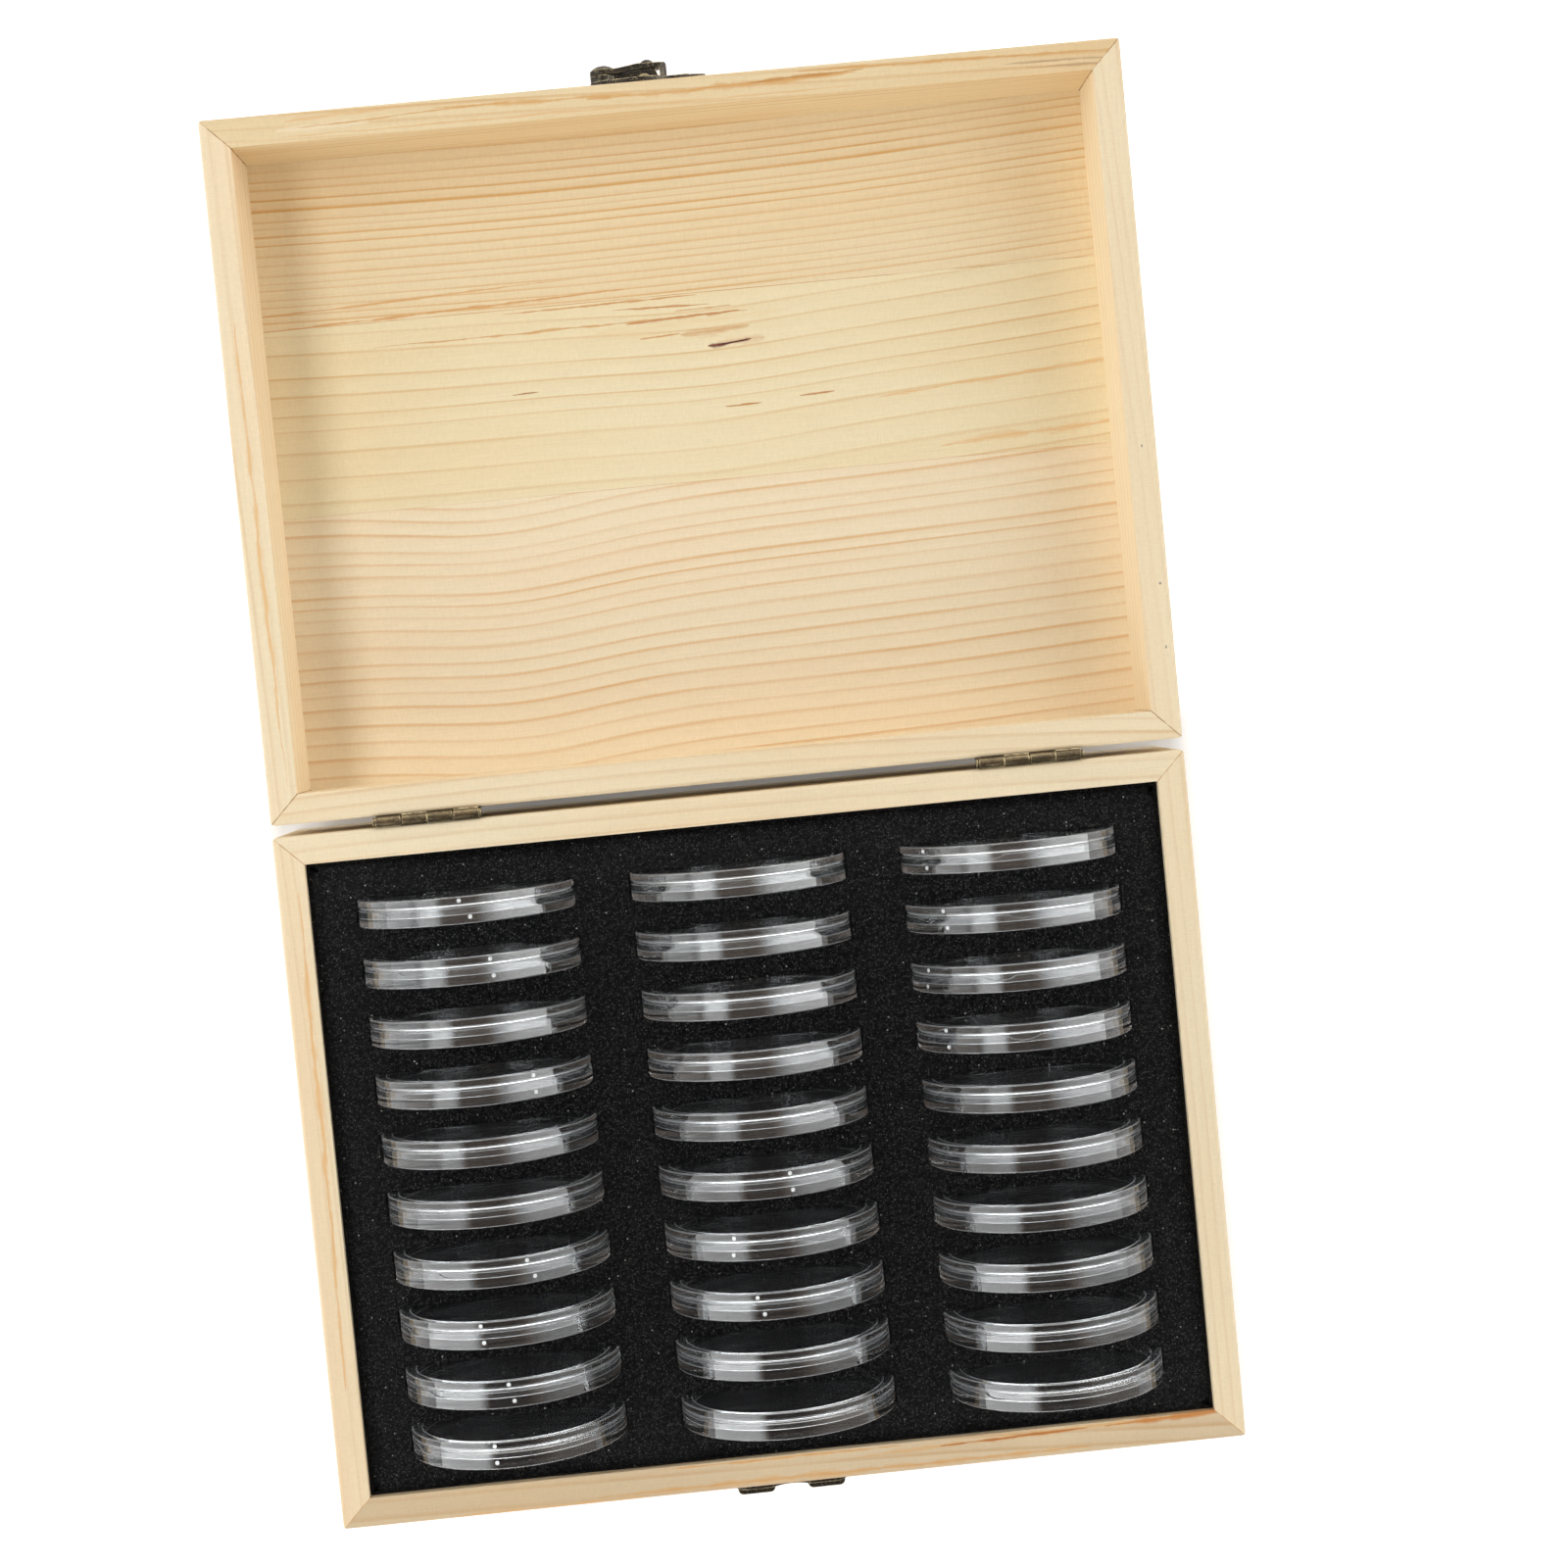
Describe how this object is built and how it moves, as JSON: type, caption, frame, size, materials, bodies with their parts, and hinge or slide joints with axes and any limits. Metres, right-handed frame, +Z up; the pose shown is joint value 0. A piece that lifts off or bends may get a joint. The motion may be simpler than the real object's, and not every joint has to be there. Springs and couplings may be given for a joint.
{
  "type": "coin display case",
  "caption": "Hinged pine display case, open flat, with clear round coin capsules standing in slotted black foam and a bronze swing latch.",
  "frame": {"origin": "centre of the base's underside", "axes": "+X to the right, +Y from the base across the hinges to the open lid, +Z up out of the open base"},
  "size_m": [0.218, 0.344, 0.0619],
  "materials": {
    "pine": "sanded pale pine rails, clear matt finish",
    "pine_panel": "edge-glued pine boards with open grain, clear matt finish",
    "foam": "fine-celled black foam, matt",
    "clear_plastic": "clear glossy moulded plastic",
    "hinge_bronze": "antique bronze plating, worn on the edges",
    "latch_bronze": "dark antique bronze plating, worn on the edges"
  },
  "bodies": {
    "base": {"base_bottom": "pine", "base_front_rail": "pine", "base_left_rail": "pine", "base_rear_rail": "pine", "base_right_rail": "pine", "foam_backing": "foam", "foam_insert": "foam", "hinge_base_nails": "hinge_bronze", "keeper_nails": "latch_bronze", "keeper_plate": "latch_bronze", "left_hinge_base_leaf": "hinge_bronze", "left_hinge_pin": "hinge_bronze", "right_hinge_base_leaf": "hinge_bronze", "right_hinge_pin": "hinge_bronze"},
    "lid": {"lid_board_front": "pine_panel", "lid_board_middle": "pine_panel", "lid_board_rear": "pine_panel", "lid_front_rail": "pine", "lid_left_rail": "pine", "lid_rear_rail": "pine", "lid_right_rail": "pine", "left_hinge_lid_leaf": "hinge_bronze", "right_hinge_lid_leaf": "hinge_bronze", "hinge_lid_nails": "hinge_bronze", "latch_plate": "latch_bronze", "latch_nails": "latch_bronze", "latch_rivet": "latch_bronze"},
    "lever": {"latch_lever": "latch_bronze"},
    "capsule_left_01": {"capsule_left_01": "clear_plastic"},
    "capsule_left_02": {"capsule_left_02": "clear_plastic"},
    "capsule_left_03": {"capsule_left_03": "clear_plastic"},
    "capsule_left_04": {"capsule_left_04": "clear_plastic"},
    "capsule_left_05": {"capsule_left_05": "clear_plastic"},
    "capsule_left_06": {"capsule_left_06": "clear_plastic"},
    "capsule_left_07": {"capsule_left_07": "clear_plastic"},
    "capsule_left_08": {"capsule_left_08": "clear_plastic"},
    "capsule_left_09": {"capsule_left_09": "clear_plastic"},
    "capsule_left_10": {"capsule_left_10": "clear_plastic"},
    "capsule_middle_01": {"capsule_middle_01": "clear_plastic"},
    "capsule_middle_02": {"capsule_middle_02": "clear_plastic"},
    "capsule_middle_03": {"capsule_middle_03": "clear_plastic"},
    "capsule_middle_04": {"capsule_middle_04": "clear_plastic"},
    "capsule_middle_05": {"capsule_middle_05": "clear_plastic"},
    "capsule_middle_06": {"capsule_middle_06": "clear_plastic"},
    "capsule_middle_07": {"capsule_middle_07": "clear_plastic"},
    "capsule_middle_08": {"capsule_middle_08": "clear_plastic"},
    "capsule_middle_09": {"capsule_middle_09": "clear_plastic"},
    "capsule_middle_10": {"capsule_middle_10": "clear_plastic"},
    "capsule_right_01": {"capsule_right_01": "clear_plastic"},
    "capsule_right_02": {"capsule_right_02": "clear_plastic"},
    "capsule_right_03": {"capsule_right_03": "clear_plastic"},
    "capsule_right_04": {"capsule_right_04": "clear_plastic"},
    "capsule_right_05": {"capsule_right_05": "clear_plastic"},
    "capsule_right_06": {"capsule_right_06": "clear_plastic"},
    "capsule_right_07": {"capsule_right_07": "clear_plastic"},
    "capsule_right_08": {"capsule_right_08": "clear_plastic"},
    "capsule_right_09": {"capsule_right_09": "clear_plastic"},
    "capsule_right_10": {"capsule_right_10": "clear_plastic"}
  },
  "joints": [
    {"name": "lid_hinge", "type": "hinge", "parent": "base", "child": "lid", "pos_m": [0, 0.08465, 0.0401], "axis": [-1, 0, 0], "range_deg": [-180, 0]},
    {"name": "latch_swing", "type": "hinge", "parent": "lid", "child": "lever", "pos_m": [-0.0134, 0.2544, 0.0344], "axis": [0, 1, 0], "range_deg": [-90, 90]},
    {"name": "capsule_left_01_lift", "type": "slide", "parent": "base", "child": "capsule_left_01", "axis": [0, 0, 1], "range_m": [0, 0.06]},
    {"name": "capsule_left_02_lift", "type": "slide", "parent": "base", "child": "capsule_left_02", "axis": [0, 0, 1], "range_m": [0, 0.06]},
    {"name": "capsule_left_03_lift", "type": "slide", "parent": "base", "child": "capsule_left_03", "axis": [0, 0, 1], "range_m": [0, 0.06]},
    {"name": "capsule_left_04_lift", "type": "slide", "parent": "base", "child": "capsule_left_04", "axis": [0, 0, 1], "range_m": [0, 0.06]},
    {"name": "capsule_left_05_lift", "type": "slide", "parent": "base", "child": "capsule_left_05", "axis": [0, 0, 1], "range_m": [0, 0.06]},
    {"name": "capsule_left_06_lift", "type": "slide", "parent": "base", "child": "capsule_left_06", "axis": [0, 0, 1], "range_m": [0, 0.06]},
    {"name": "capsule_left_07_lift", "type": "slide", "parent": "base", "child": "capsule_left_07", "axis": [0, 0, 1], "range_m": [0, 0.06]},
    {"name": "capsule_left_08_lift", "type": "slide", "parent": "base", "child": "capsule_left_08", "axis": [0, 0, 1], "range_m": [0, 0.06]},
    {"name": "capsule_left_09_lift", "type": "slide", "parent": "base", "child": "capsule_left_09", "axis": [0, 0, 1], "range_m": [0, 0.06]},
    {"name": "capsule_left_10_lift", "type": "slide", "parent": "base", "child": "capsule_left_10", "axis": [0, 0, 1], "range_m": [0, 0.06]},
    {"name": "capsule_middle_01_lift", "type": "slide", "parent": "base", "child": "capsule_middle_01", "axis": [0, 0, 1], "range_m": [0, 0.06]},
    {"name": "capsule_middle_02_lift", "type": "slide", "parent": "base", "child": "capsule_middle_02", "axis": [0, 0, 1], "range_m": [0, 0.06]},
    {"name": "capsule_middle_03_lift", "type": "slide", "parent": "base", "child": "capsule_middle_03", "axis": [0, 0, 1], "range_m": [0, 0.06]},
    {"name": "capsule_middle_04_lift", "type": "slide", "parent": "base", "child": "capsule_middle_04", "axis": [0, 0, 1], "range_m": [0, 0.06]},
    {"name": "capsule_middle_05_lift", "type": "slide", "parent": "base", "child": "capsule_middle_05", "axis": [0, 0, 1], "range_m": [0, 0.06]},
    {"name": "capsule_middle_06_lift", "type": "slide", "parent": "base", "child": "capsule_middle_06", "axis": [0, 0, 1], "range_m": [0, 0.06]},
    {"name": "capsule_middle_07_lift", "type": "slide", "parent": "base", "child": "capsule_middle_07", "axis": [0, 0, 1], "range_m": [0, 0.06]},
    {"name": "capsule_middle_08_lift", "type": "slide", "parent": "base", "child": "capsule_middle_08", "axis": [0, 0, 1], "range_m": [0, 0.06]},
    {"name": "capsule_middle_09_lift", "type": "slide", "parent": "base", "child": "capsule_middle_09", "axis": [0, 0, 1], "range_m": [0, 0.06]},
    {"name": "capsule_middle_10_lift", "type": "slide", "parent": "base", "child": "capsule_middle_10", "axis": [0, 0, 1], "range_m": [0, 0.06]},
    {"name": "capsule_right_01_lift", "type": "slide", "parent": "base", "child": "capsule_right_01", "axis": [0, 0, 1], "range_m": [0, 0.06]},
    {"name": "capsule_right_02_lift", "type": "slide", "parent": "base", "child": "capsule_right_02", "axis": [0, 0, 1], "range_m": [0, 0.06]},
    {"name": "capsule_right_03_lift", "type": "slide", "parent": "base", "child": "capsule_right_03", "axis": [0, 0, 1], "range_m": [0, 0.06]},
    {"name": "capsule_right_04_lift", "type": "slide", "parent": "base", "child": "capsule_right_04", "axis": [0, 0, 1], "range_m": [0, 0.06]},
    {"name": "capsule_right_05_lift", "type": "slide", "parent": "base", "child": "capsule_right_05", "axis": [0, 0, 1], "range_m": [0, 0.06]},
    {"name": "capsule_right_06_lift", "type": "slide", "parent": "base", "child": "capsule_right_06", "axis": [0, 0, 1], "range_m": [0, 0.06]},
    {"name": "capsule_right_07_lift", "type": "slide", "parent": "base", "child": "capsule_right_07", "axis": [0, 0, 1], "range_m": [0, 0.06]},
    {"name": "capsule_right_08_lift", "type": "slide", "parent": "base", "child": "capsule_right_08", "axis": [0, 0, 1], "range_m": [0, 0.06]},
    {"name": "capsule_right_09_lift", "type": "slide", "parent": "base", "child": "capsule_right_09", "axis": [0, 0, 1], "range_m": [0, 0.06]},
    {"name": "capsule_right_10_lift", "type": "slide", "parent": "base", "child": "capsule_right_10", "axis": [0, 0, 1], "range_m": [0, 0.06]}
  ]
}
